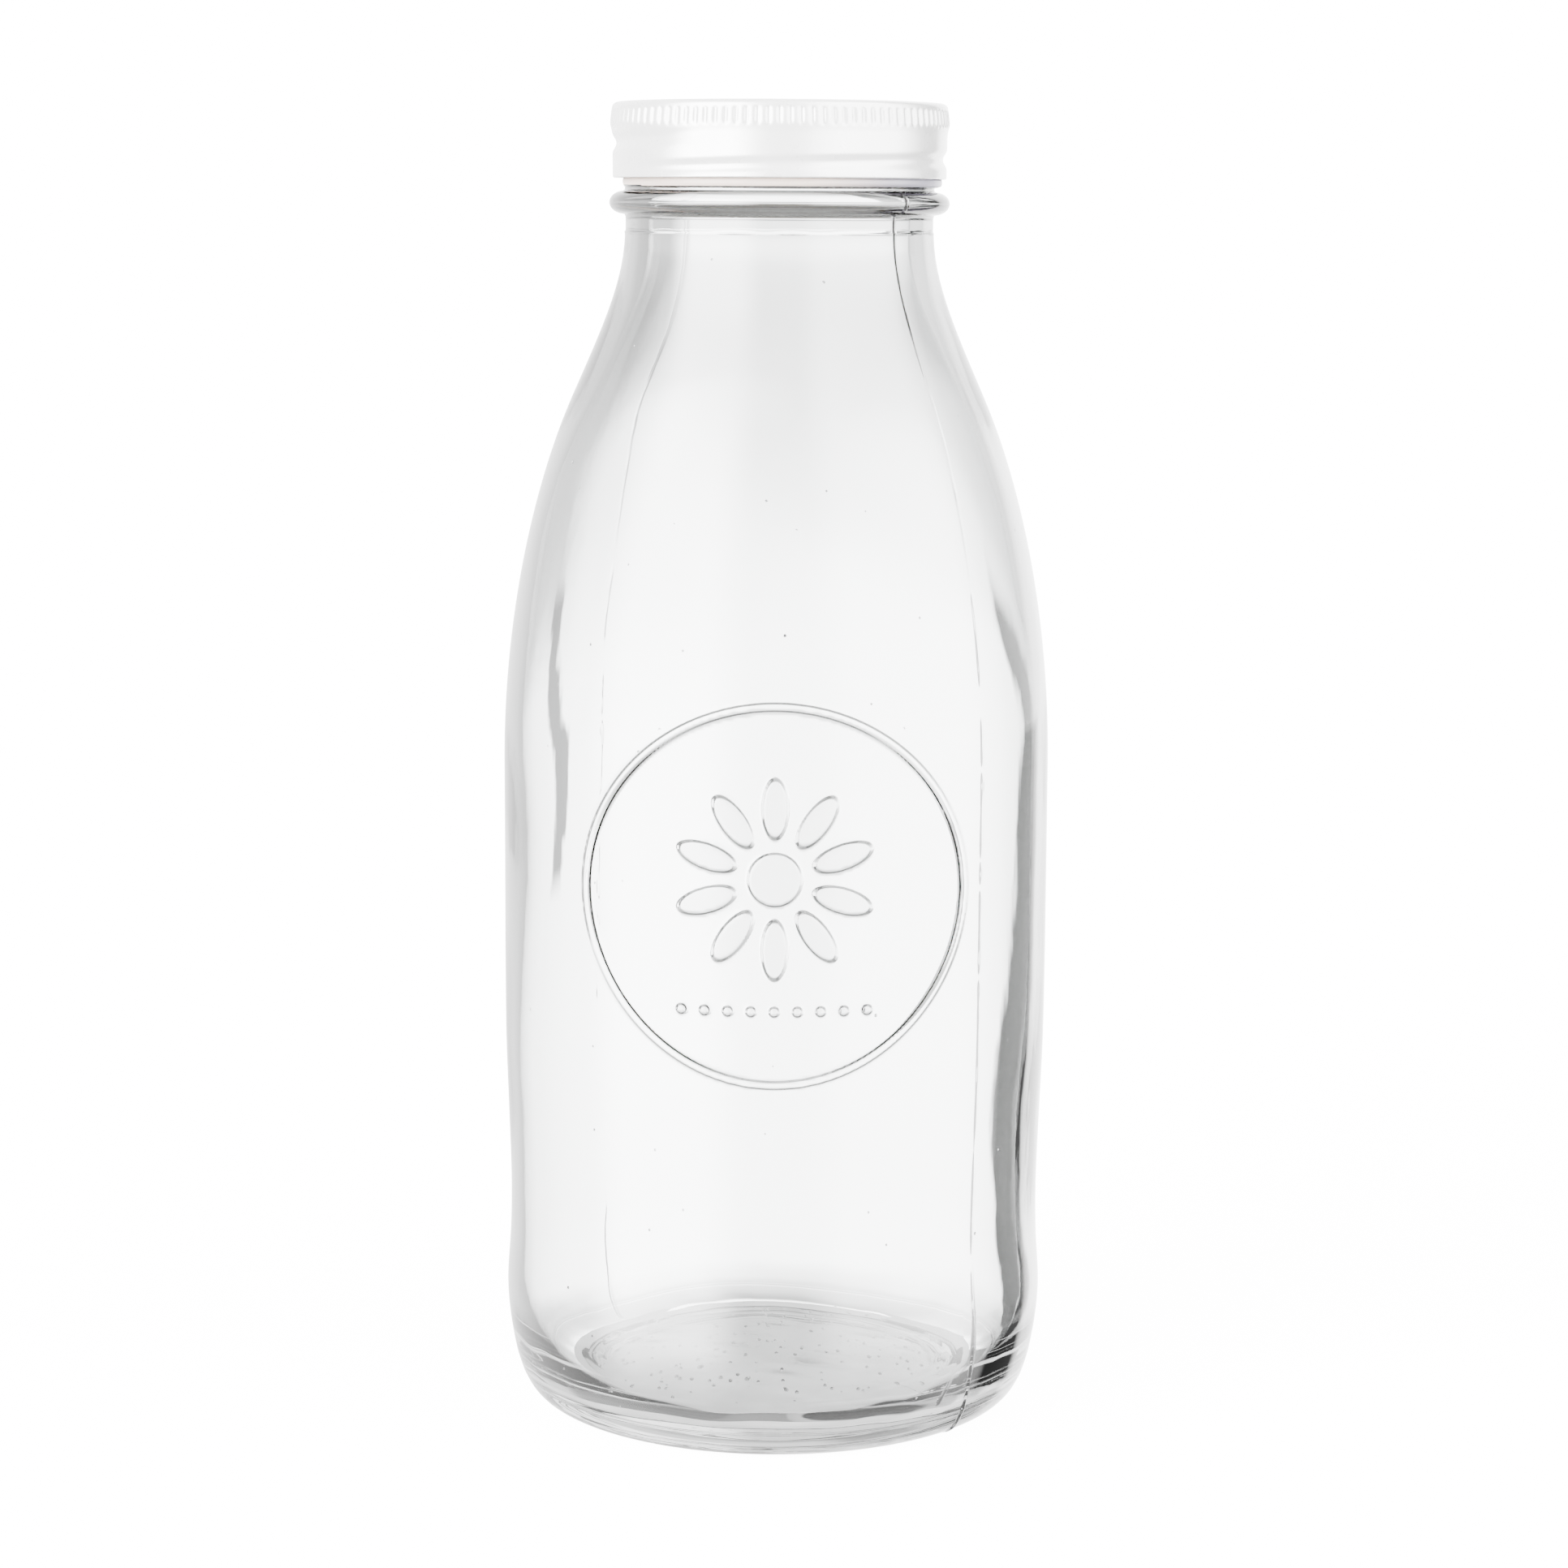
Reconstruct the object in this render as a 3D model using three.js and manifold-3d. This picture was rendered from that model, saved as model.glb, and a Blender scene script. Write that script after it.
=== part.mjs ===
// Clear glass milk bottle with a 48 mm continuous-thread metal cap and a loose liner disc.
// Millimetres, +Z up, origin at the centre of the ring the bottle stands on, embossed side towards -Y.
import * as THREE from 'three';
import { mergeVertices } from 'three/addons/utils/BufferGeometryUtils.js';
import Module from 'manifold-3d';

const wasm = await Module();
wasm.setup();

// Bottle body
const BODY_R = 40.95;
const BODY_BOTTOM_Z = 70;
const BODY_TOP_Z = 97.5;
const WALL = 2.6;
const EVEN_WALL_Z = 18;
const BOTTLE_COLUMNS = 54;

// Base: bearing ring, push-up and rounded corners
const BEARING_INNER_R = 30.6;
const BEARING_OUTER_R = 32.6;
const PUSH_UP = 2.2;
const HEEL_R = 38.45;
const HEEL_Z = 4.1;
const FLOOR_Z = 4.8;
const FLOOR_R = 31.5;

// Shoulder and neck
const SHOULDER_R = 30.5;
const SHOULDER_Z = 152.6;
const NECK_R = 22.8;
const NECK_Z = 177.5;

// Finish: transfer bead, locking ring, threaded land and sealing rim
const BEAD_Z = 180.75;
const BEAD_OUT = 2.25;
const BEAD_HALF = 1.7;
const RELIEF_R = 22.9;
const RING_R = 23.55;
const RING_LOW_Z = 183.2;
const RING_HIGH_Z = 184.5;
const LAND_R = 22.75;
const RIM_Z = 193.3;
const BORE_R = 19.4;

// Thread shared by the glass and the cap: right-handed, six turns to the inch
const PITCH = 25.4 / 6;
const CREST_R = 24.05;
const RIDGE_ROOT_R = 22.4;
const RIDGE_ROOT_HALF = 1.35;
const RIDGE_CREST_HALF = 0.5;
const RIDGE_START_DEG = 165;
const RIDGE_END_DEG = 570;
const RIDGE_TAPER_DEG = 24;

// Raised emblem: a ring, a daisy and a row of dots
const EMBOSS = 0.4;
const EMBLEM_Z = 83.9;
const EMBLEM_R = 27.7;
const EMBLEM_BAND = 1.3;
const PETALS = 10;
const PETAL_NEAR = 5.6;
const PETAL_FAR = 14.6;
const PETAL_HALF = 1.9;
const DAISY_DISC_R = 3.9;
const DAISY_RISE = 2.6;
const DOTS = 9;
const DOT_R = 0.8;
const DOT_STEP = 3.3;
const DOT_DROP = 16.4;

// Cap: one pressed sheet
const CAP_TOP_Z = 195.3;
const SHEET = 0.25;
const HEM_Z = 184.3;
const HEM_R = 24.55;
const SKIRT_R = 24.65;
const SKIRT_TOP_Z = 191.5;
const SKIRT_ROWS = 13;
const CAP_CORNER = 1.1;
const PANEL_R = 20.6;
const PANEL_DROP = 0.35;
const FLUTES = 100;
const KNURL_R = 25.0;
const KNURL_LOW_Z = 191.9;
const KNURL_HIGH_Z = 193.95;
const GROOVE_DEPTH = 0.6;
const GROOVE_HALF = 1.55;
const GROOVE_RIGHT_Z = 187.2;
const GROOVE_START_DEG = 200;
const GROOVE_END_DEG = 610;
const GROOVE_FADE_DEG = 40;

// Liner disc
const LINER_R = 23.6;
const LINER_LOW_Z = 193.6;
const LINER_HIGH_Z = 194.4;
const LINER_COLUMNS = 72;

const vec = (x, y) => new THREE.Vector2(x, y);
const bezier = (a, b, c, d, n) => new THREE.CubicBezierCurve(a, b, c, d).getPoints(n);
const spline = (points, n) => new THREE.SplineCurve(points).getPoints(n);
const ellipse = (x, y, rx, ry, from, to) => new THREE.EllipseCurve(x, y, rx, ry, from, to, to < from);
const arc = (x, y, rx, ry, from, to, n) => ellipse(x, y, rx, ry, from, to).getPoints(n);

// Joins point runs into one profile and drops repeated points.
function joinRuns(...runs) {
  const points = runs.flat();
  return points.filter((p, i) => i === 0 || p.distanceTo(points[i - 1]) > 1e-4);
}

// Moves every point of a run by a distance along its left-hand normal.
function offsetRun(points, distance) {
  return points.map((p, i) => {
    const before = points[Math.max(i - 1, 0)];
    const after = points[Math.min(i + 1, points.length - 1)];
    const along = after.clone().sub(before).normalize();
    return vec(p.x - along.y * distance, p.y + along.x * distance);
  });
}

// A closed geometry reduced to shared positions, without the empty triangles at an axis.
function cleanGeometry(source) {
  const bare = new THREE.BufferGeometry();
  bare.setAttribute('position', source.getAttribute('position'));
  bare.setIndex(source.getIndex());
  const merged = mergeVertices(bare, 1e-4);
  const index = merged.getIndex().array;
  const kept = [];
  for (let i = 0; i < index.length; i += 3) {
    const [a, b, c] = [index[i], index[i + 1], index[i + 2]];
    if (a !== b && b !== c && c !== a) {
      kept.push(a, b, c);
    }
  }
  merged.setIndex(kept);
  return merged;
}

function toSolid(geometry) {
  const clean = cleanGeometry(geometry);
  const vertProperties = Float32Array.from(clean.getAttribute('position').array);
  const triVerts = Uint32Array.from(clean.getIndex().array);
  return new wasm.Manifold(new wasm.Mesh({ numProp: 3, vertProperties, triVerts }));
}

function toGeometry(solid) {
  const mesh = solid.getMesh();
  const geometry = new THREE.BufferGeometry();
  geometry.setAttribute('position', new THREE.BufferAttribute(Float32Array.from(mesh.vertProperties), 3));
  geometry.setIndex(new THREE.BufferAttribute(Uint32Array.from(mesh.triVerts), 1));
  return geometry;
}

// Turns a profile (x outwards, y up) about Z; column 0 faces -Y.
function turn(profile, columns) {
  const geometry = new THREE.LatheGeometry(profile, columns);
  geometry.rotateX(Math.PI / 2);
  return geometry;
}

// Stitches rings of points into a skin. A ring may have one point, or twice or half its neighbour's points.
function stitch(rings) {
  const positions = rings.flat().flatMap((p) => [p.x, p.y, p.z]);
  const starts = rings.map((_, k) => rings.slice(0, k).flat().length);
  const index = [];
  for (let k = 0; k + 1 < rings.length; k += 1) {
    const [na, nb] = [rings[k].length, rings[k + 1].length];
    const a = (i) => starts[k] + (i % na);
    const b = (i) => starts[k + 1] + (i % nb);
    const steps = na === 1 || nb === 1 ? Math.max(na, nb) : Math.min(na, nb);
    for (let i = 0; i < steps; i += 1) {
      if (na === 1) {
        index.push(a(0), b(i), b(i + 1));
      } else if (nb === 1) {
        index.push(a(i), b(0), a(i + 1));
      } else if (nb === 2 * na) {
        index.push(a(i), b(2 * i), b(2 * i + 1), a(i), b(2 * i + 1), a(i + 1));
        index.push(a(i + 1), b(2 * i + 1), b(2 * i + 2));
      } else if (na === 2 * nb) {
        index.push(a(2 * i), b(i), a(2 * i + 1), a(2 * i + 1), b(i), b(i + 1));
        index.push(a(2 * i + 1), b(i + 1), a(2 * i + 2));
      } else {
        index.push(a(i), b(i), b(i + 1), a(i), b(i + 1), a(i + 1));
      }
    }
  }
  const geometry = new THREE.BufferGeometry();
  geometry.setAttribute('position', new THREE.Float32BufferAttribute(positions, 3));
  geometry.setIndex(index);
  return geometry;
}

// Outside of the body from the heel corner to the neck.
function bodyRun() {
  const heel = [
    vec(HEEL_R, HEEL_Z), vec(39.55, 7.5), vec(40.4, 12.5), vec(40.75, 18), vec(40.25, 26),
    vec(40.15, 34), vec(40.45, 44), vec(40.85, 56), vec(BODY_R, BODY_BOTTOM_Z),
  ];
  const joint = vec(SHOULDER_R, SHOULDER_Z);
  const lower = bezier(vec(BODY_R, BODY_TOP_Z), vec(BODY_R, 116.6), vec(37.3, 137.2), joint, 8);
  const upper = bezier(joint, vec(26.4, 161.9), vec(NECK_R, 169.5), vec(NECK_R, NECK_Z), 7);
  return joinRuns(spline(heel, 10), lower, upper);
}

// Underside from the axis to the heel corner.
function baseRun() {
  const pushUp = bezier(vec(0, PUSH_UP), vec(20, PUSH_UP), vec(27, 1.9), vec(BEARING_INNER_R, 0), 4);
  const corner = bezier(vec(BEARING_OUTER_R, 0), vec(36.2, 0), vec(37.6, 2.1), vec(HEEL_R, HEEL_Z), 4);
  return joinRuns(pushUp, corner);
}

// Bead, locking ring, threaded land and rim.
function finishRun() {
  const bead = arc(RELIEF_R, BEAD_Z, BEAD_OUT, BEAD_HALF, -Math.PI / 2, Math.PI / 2, 7);
  const ring = [
    vec(RELIEF_R, RING_LOW_Z - 0.1), vec(RING_R - 0.12, RING_LOW_Z), vec(RING_R, RING_LOW_Z + 0.3),
    vec(RING_R, RING_HIGH_Z - 0.3), vec(RING_R - 0.12, RING_HIGH_Z), vec(LAND_R, RING_HIGH_Z + 0.3),
  ];
  const outerLip = arc(LAND_R - 0.6, RIM_Z - 0.6, 0.6, 0.6, 0, Math.PI / 2, 2);
  const innerLip = arc(BORE_R + 0.7, RIM_Z - 0.7, 0.7, 0.7, Math.PI / 2, Math.PI, 2);
  return joinRuns([vec(NECK_R, 178.7)], bead, ring, outerLip, innerLip);
}

// Inside of the bottle from the neck down to the floor's centre.
function insideRun() {
  const throat = bezier(vec(BORE_R, NECK_Z - 3), vec(BORE_R, 168), vec(24.1, 160.6), vec(28.1, 151.55), 5);
  const outside = bodyRun().filter((p) => p.y > EVEN_WALL_Z - 1 && p.y < 152);
  const even = offsetRun(outside, WALL).reverse().filter((p) => p.y < 149);
  const last = even[even.length - 1];
  const corner = arc(FLOOR_R, last.y, last.x - FLOOR_R, last.y - FLOOR_Z, 0, -Math.PI / 2, 7);
  return joinRuns(throat, even, corner, [vec(0, FLOOR_Z + 0.4)]);
}

// The glass thread: a tapered-end ridge of four-sided sections on a right-handed helix.
function threadRidge() {
  const stepDeg = 360 / BOTTLE_COLUMNS;
  const steps = Math.round((RIDGE_END_DEG - RIDGE_START_DEG) / stepDeg);
  const sections = [];
  for (let i = 0; i <= steps; i += 1) {
    const deg = RIDGE_START_DEG + i * stepDeg;
    const fromEnd = Math.min(deg - RIDGE_START_DEG, RIDGE_END_DEG - deg);
    const full = Math.min(fromEnd / RIDGE_TAPER_DEG, 1);
    const crest = RIDGE_ROOT_R + 0.2 + (CREST_R - RIDGE_ROOT_R - 0.2) * full;
    const z = GROOVE_RIGHT_Z + PITCH * (0.5 + (deg - 360) / 360);
    const angle = THREE.MathUtils.degToRad(deg);
    const half = RIDGE_CREST_HALF + (RIDGE_ROOT_HALF - RIDGE_CREST_HALF) * full;
    const corner = (r, dz) => new THREE.Vector3(r * Math.cos(angle), r * Math.sin(angle), z + dz);
    sections.push([
      corner(RIDGE_ROOT_R, -half), corner(crest, -RIDGE_CREST_HALF),
      corner(crest, RIDGE_CREST_HALF), corner(RIDGE_ROOT_R, half),
    ]);
  }
  const middle = (s) => [s[0].clone().add(s[1]).add(s[2]).add(s[3]).multiplyScalar(0.25)];
  const first = middle(sections[0]);
  const last = middle(sections[sections.length - 1]);
  return stitch([first, ...sections, last]);
}

// The emblem's outlines, drawn flat and centred on the ring's centre.
function emblemShapes() {
  const ring = new THREE.Shape().absarc(0, 0, EMBLEM_R, 0, 2 * Math.PI);
  ring.holes.push(new THREE.Path().absarc(0, 0, EMBLEM_R - EMBLEM_BAND, 0, 2 * Math.PI, true));
  const disc = new THREE.Shape().absarc(0, DAISY_RISE, DAISY_DISC_R, 0, 2 * Math.PI);
  const middle = (PETAL_NEAR + PETAL_FAR) / 2;
  const half = (PETAL_FAR - PETAL_NEAR) / 2;
  const petals = Array.from({ length: PETALS }, (_, k) => {
    const angle = Math.PI / 2 + (2 * Math.PI * k) / PETALS;
    const x = middle * Math.cos(angle);
    const y = DAISY_RISE + middle * Math.sin(angle);
    return new THREE.Shape().absellipse(x, y, half, PETAL_HALF, 0, 2 * Math.PI, false, angle);
  });
  const dots = Array.from({ length: DOTS }, (_, k) => {
    const x = (k - (DOTS - 1) / 2) * DOT_STEP;
    return new THREE.Shape().absarc(x, -DOT_DROP, DOT_R, 0, 2 * Math.PI);
  });
  return { ring: [ring], motif: [disc, ...petals], dots };
}

// Straight bars through the front wall, in the outline of some shapes.
function emblemBars(shapes, curveSegments) {
  const bars = shapes.map((shape) => {
    const geometry = new THREE.ExtrudeGeometry(shape, { depth: 50, bevelEnabled: false, curveSegments });
    geometry.rotateX(Math.PI / 2);
    geometry.translate(0, 0, EMBLEM_Z);
    return toSolid(geometry);
  });
  return bars.reduce((sum, bar) => sum.add(bar));
}

// The thin skin, on and just above the body's surface, that the emblem is cut from.
function embossSkin() {
  const reach = EMBLEM_R + 3;
  const near = bodyRun().filter((p) => Math.abs(p.y - EMBLEM_Z) < reach + 6);
  const front = near.map((p) => vec(p.x + EMBOSS, p.y));
  const back = near.map((p) => vec(p.x - 0.6, p.y)).reverse();
  return toSolid(turn([...front, ...back, front[0].clone()], BOTTLE_COLUMNS));
}

function buildBottle() {
  const profile = joinRuns(baseRun(), bodyRun(), finishRun(), insideRun());
  const blank = toSolid(turn(profile, BOTTLE_COLUMNS));
  const shapes = emblemShapes();
  const bars = [emblemBars(shapes.ring, 36), emblemBars(shapes.motif, 8), emblemBars(shapes.dots, 4)];
  const raised = bars.reduce((sum, bar) => sum.add(bar)).intersect(embossSkin());
  return toGeometry(blank.add(toSolid(threadRidge())).add(raised));
}

// Depth of the cap's rolled groove at an azimuth in degrees and a height.
function grooveDepth(azimuth, z) {
  let depth = 0;
  for (let deg = azimuth; deg <= GROOVE_END_DEG; deg += 360) {
    const fromEnd = Math.min(deg - GROOVE_START_DEG, GROOVE_END_DEG - deg);
    const fade = THREE.MathUtils.smoothstep(fromEnd, 0, GROOVE_FADE_DEG);
    const centre = GROOVE_RIGHT_Z + (PITCH * (deg - 360)) / 360;
    const across = Math.min(Math.abs(z - centre) / GROOVE_HALF, 1);
    depth += GROOVE_DEPTH * fade * Math.cos((Math.PI / 2) * across) ** 2;
  }
  return depth;
}

function ringOf(count, z, radiusAt) {
  return Array.from({ length: count }, (_, i) => {
    const angle = (2 * Math.PI * i) / count;
    const r = radiusAt(i, THREE.MathUtils.radToDeg(angle));
    return new THREE.Vector3(r * Math.cos(angle), r * Math.sin(angle), z);
  });
}

// The cap's pressed sheet: the outside from the panel's centre to the hem, then the inside back again.
function buildCap() {
  const plain = (r, z) => ringOf(FLUTES, z, () => r);
  const coarse = (r, z) => ringOf(FLUTES / 2, z, () => r);
  const fine = (z, depth) => ringOf(2 * FLUTES, z, (i) => SKIRT_R + 0.03 + depth * (i % 2));
  const knurl = KNURL_R - SKIRT_R - 0.03;
  const skirtZ = (k) => SKIRT_TOP_Z + ((HEM_Z + 0.35 - SKIRT_TOP_Z) * k) / (SKIRT_ROWS - 1);
  const skirt = (count, inset) => Array.from({ length: SKIRT_ROWS }, (_, k) => (
    ringOf(count, skirtZ(k), (_i, deg) => SKIRT_R - inset - grooveDepth(deg, skirtZ(k)))));
  const corner = arc(SKIRT_R - CAP_CORNER, CAP_TOP_Z - CAP_CORNER, CAP_CORNER, CAP_CORNER, Math.PI / 2, 0, 4);
  const innerCorner = offsetRun(corner, -SHEET).reverse();
  const panelZ = CAP_TOP_Z - PANEL_DROP;
  const outside = [
    [new THREE.Vector3(0, 0, panelZ)], plain(PANEL_R, panelZ), plain(PANEL_R + 0.5, CAP_TOP_Z),
    ...corner.map((p) => plain(p.x, p.y)),
    fine(KNURL_HIGH_Z + 0.2, 0), fine(KNURL_HIGH_Z, knurl),
    fine(KNURL_LOW_Z, knurl), fine(KNURL_LOW_Z - 0.2, 0),
    ...skirt(FLUTES, 0), plain(HEM_R, HEM_Z),
  ];
  const inside = [
    coarse(HEM_R - SHEET, HEM_Z), ...skirt(FLUTES / 2, SHEET).reverse(),
    ...innerCorner.map((p) => coarse(p.x, p.y)),
    coarse(PANEL_R + 0.6, CAP_TOP_Z - SHEET), coarse(PANEL_R + 0.1, panelZ - SHEET),
    [new THREE.Vector3(0, 0, panelZ - SHEET)],
  ];
  return stitch([...outside, ...inside]);
}

// The liner: a flat disc with softened edges.
function buildLiner() {
  const soft = 0.15;
  const profile = [
    vec(0, LINER_LOW_Z), vec(LINER_R - soft, LINER_LOW_Z), vec(LINER_R, LINER_LOW_Z + soft),
    vec(LINER_R, LINER_HIGH_Z - soft), vec(LINER_R - soft, LINER_HIGH_Z), vec(0, LINER_HIGH_Z),
  ];
  return turn(profile, LINER_COLUMNS);
}

function named(name, geometry, material) {
  const mesh = new THREE.Mesh(geometry, new THREE.MeshStandardMaterial(material));
  mesh.name = name;
  return mesh;
}

const GLASS = { color: 0xe9eeee, roughness: 0.03, metalness: 0, transparent: true, opacity: 0.35 };
const WHITE_COAT = { color: 0xefefec, roughness: 0.32, metalness: 0 };
const LINER_FOAM = { color: 0x9d9d9b, roughness: 0.7, metalness: 0 };

const bottle = new THREE.Group();
bottle.name = 'milk_bottle';
bottle.add(named('glass_bottle', buildBottle(), GLASS));
bottle.add(named('cap_shell', buildCap(), WHITE_COAT));
bottle.add(named('cap_liner', buildLiner(), LINER_FOAM));

export default bottle;
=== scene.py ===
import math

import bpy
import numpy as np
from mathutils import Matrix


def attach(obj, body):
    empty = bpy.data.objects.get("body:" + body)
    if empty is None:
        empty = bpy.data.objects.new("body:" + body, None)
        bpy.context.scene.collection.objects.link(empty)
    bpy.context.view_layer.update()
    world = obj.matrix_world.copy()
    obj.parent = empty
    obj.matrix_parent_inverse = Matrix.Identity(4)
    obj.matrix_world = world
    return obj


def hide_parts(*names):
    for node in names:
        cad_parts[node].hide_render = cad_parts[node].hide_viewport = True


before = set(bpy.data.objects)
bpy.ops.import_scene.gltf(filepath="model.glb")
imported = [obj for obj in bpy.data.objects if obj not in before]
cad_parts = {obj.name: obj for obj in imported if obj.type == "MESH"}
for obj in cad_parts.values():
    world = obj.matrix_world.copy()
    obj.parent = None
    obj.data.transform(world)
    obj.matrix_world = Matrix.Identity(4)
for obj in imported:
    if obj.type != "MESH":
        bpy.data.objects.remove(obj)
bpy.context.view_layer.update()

# %% [markdown]
# # A glass milk bottle with a white screw cap
#
# The real thing is three pieces: one moulded glass bottle, one pressed metal cap, and a loose sealing disc
# that lies inside the cap. All three are round, so each can be drawn as a half outline and turned about the
# upright axis. Blender's Screw modifier could turn them, but the pieces also carry details that change round
# the axis: a screw thread, a knurl, two mould seams and a raised emblem. So every piece here is worked out
# with numpy: an outline gives the rows, angles give the columns, and the details move the radius before the
# points become a mesh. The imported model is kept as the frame, for size and motion.

MM = 0.001

# %% [markdown]
# ## Curves for outlines
#
# A glassmaker's drawing is made of arcs and easy curves. Three small functions are enough: a cubic curve
# pulled by two handles, a piece of an ellipse, and a curve that passes through given points. Each one returns
# rows of (radius, height) in millimetres. The dense outline is then thinned to rows whose spacing follows the
# detail, because a straight wall needs few rows and a screw thread needs many.


# %% Outline helpers
def cubic(a, b, c, d, n=40):
    """Points of a cubic curve: the four control points weighted by the Bernstein polynomials of t in 0..1."""
    t = np.linspace(0, 1, n)[:, None]
    a, b, c, d = (np.array(p, float) for p in (a, b, c, d))
    return (1 - t) ** 3 * a + 3 * (1 - t) ** 2 * t * b + 3 * (1 - t) * t**2 * c + t**3 * d


def ellipse(centre, rx, rz, start, end, n=24):
    """Centre plus (rx cos, rz sin) of an angle that runs from start to end degrees."""
    t = np.radians(np.linspace(start, end, n))
    return np.stack([centre[0] + rx * np.cos(t), centre[1] + rz * np.sin(t)], 1)


def through(points, n=12):
    """A Catmull-Rom curve through the points: each span is a cubic whose slope at a point is half the step
    between that point's neighbours."""
    p = np.array(points, float)
    p = np.vstack([2 * p[0] - p[1], p, 2 * p[-1] - p[-2]])
    t = np.linspace(0, 1, n, endpoint=False)[None, :, None]
    a, b, c, d = (p[k : len(p) - 3 + k, None, :] for k in range(4))
    span = b + t * (c - a) / 2 + t**2 * (a - 2.5 * b + 2 * c - d / 2) + t**3 * (1.5 * (b - c) + (d - a) / 2)
    return np.vstack([span.reshape(-1, 2), p[-2:-1]])


def joined(*runs):
    """The runs one after another, with repeated points dropped."""
    path = np.vstack([np.atleast_2d(np.array(r, float)) for r in runs])
    step = np.hypot(*np.diff(path, axis=0).T)
    return path[np.concatenate([[True], step > 1e-4])]


def thinned(path, spacing):
    """Rows along a dense path. spacing gives the wanted gap at each point; its inverse is summed along the
    path into a row count, and the rows share that sum out evenly."""
    middle = (path[1:] + path[:-1]) / 2
    gaps = np.hypot(*np.diff(path, axis=0).T)
    count = np.concatenate([[0], np.cumsum(gaps / spacing(middle))])
    rows = int(np.ceil(count[-1])) + 1
    at = np.linspace(0, count[-1], rows)
    return np.stack([np.interp(at, count, path[:, k]) for k in (0, 1)], 1)


def inset(path, distance):
    """The outline moved to its right by a distance, square to its direction of travel."""
    along = np.gradient(path, axis=0)
    along /= np.hypot(*along.T)[:, None]
    return path + distance * np.stack([along[:, 1], -along[:, 0]], 1)


def smooth(x, low, high):
    """0 below low, 1 above high, and the smoothstep 3t^2 - 2t^3 between."""
    t = np.clip((x - low) / (high - low), 0, 1)
    return t * t * (3 - 2 * t)


# %% [markdown]
# ## Skins from rings
#
# A turned piece is a stack of rings. Where two rings have the same columns, four-sided faces join them. The
# emblem wants columns 0.4 degrees apart, but the rest of the bottle doesn't, so a ring may also meet one with
# more columns: each extra column then makes a triangle to the coarse point before it. A ring of radius zero
# becomes one point, which closes the pole. Faces are arrays too, and are listed so that they look outwards.


# %% Mesh helpers
def strip(a, b):
    """Faces between two rings of vertex numbers of equal length, closed round."""
    return np.stack([a, b, np.roll(b, -1), np.roll(a, -1)], 1)


def fan(pole, ring, outward):
    """Triangles from one vertex to a ring."""
    ends = (ring, np.roll(ring, -1)) if outward else (np.roll(ring, -1), ring)
    return np.stack([np.full(len(ring), pole), *ends], 1)


def graded(coarse, fine, nearest, coarse_first):
    """Triangles between a coarse and a fine ring. nearest gives, for each fine column, the coarse one at or
    before it: every fine gap makes a triangle to that column, and every coarse gap one to a fine column."""
    following = np.roll(fine, -1)
    first = np.stack([fine, following, coarse[nearest]], 1)
    last = np.flatnonzero(nearest != np.roll(nearest, -1))
    second = np.stack([coarse[nearest[last]], following[last], np.roll(coarse, -1)[nearest[last]]], 1)
    faces = np.vstack([first, second])
    return faces[:, ::-1] if coarse_first else faces


def put_mesh(name, points, face_sets, material, body, node):
    """Builds one piece from points in millimetres. It is smooth-shaded, rides on its body and replaces its
    CAD node."""
    mesh = bpy.data.meshes.new(name)
    mesh.from_pydata((points * MM).tolist(), [], [f for faces in face_sets for f in faces.tolist()])
    mesh.materials.append(material)
    mesh.shade_smooth()
    mesh.validate()
    piece = bpy.data.objects.new(name, mesh)
    bpy.context.scene.collection.objects.link(piece)
    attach(piece, body)
    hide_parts(node)
    triangles = sum(len(faces) * (faces.shape[1] - 2) for faces in face_sets)
    print(f"{name}: {len(points)} points, {triangles} triangles")
    return piece


def paint(piece, material, choose):
    """Gives a second material to the faces whose centres pass a test of radius and height in millimetres."""
    piece.data.materials.append(material)
    centres = np.empty(len(piece.data.polygons) * 3, np.float32)
    piece.data.polygons.foreach_get("center", centres)
    centres = centres.reshape(-1, 3) / MM
    chosen = choose(np.hypot(centres[:, 0], centres[:, 1]), centres[:, 2])
    piece.data.polygons.foreach_set("material_index", chosen.astype(np.int32))
    print(f"{piece.name}: {int(chosen.sum())} faces in {material.name}")


# %% [markdown]
# ## The glass outline
#
# The bottle is blown into a mould: the outside takes the mould's shape and the inside is left by the air, so
# it is softer and has no detail. The outside starts at the pushed-up middle of the base, rests on a narrow
# ring, rounds the heel, and climbs a nearly straight wall with a slight waist. The long shoulder is two cubic
# curves that meet where it bends the other way. Above the neck come the carrying bead, the locking ring, the
# land that the thread stands on, and the rounded rim. The inside keeps an even wall under the shoulder and
# ends in a rounded corner and a nearly flat floor.

# %% Outside of the glass, from the base's middle to the rim
BODY_R = 40.95
HEEL = (38.45, 4.1)
EMBLEM_Z = 83.9
LAND_R = 22.75
RIM_Z = 193.3
BORE_R = 19.4

PUSH_UP = 2.2
FOOT_RING = (30.6, 32.6)
NECK_BEND = (30.5, 152.6)
NECK_R = 22.85

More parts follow.
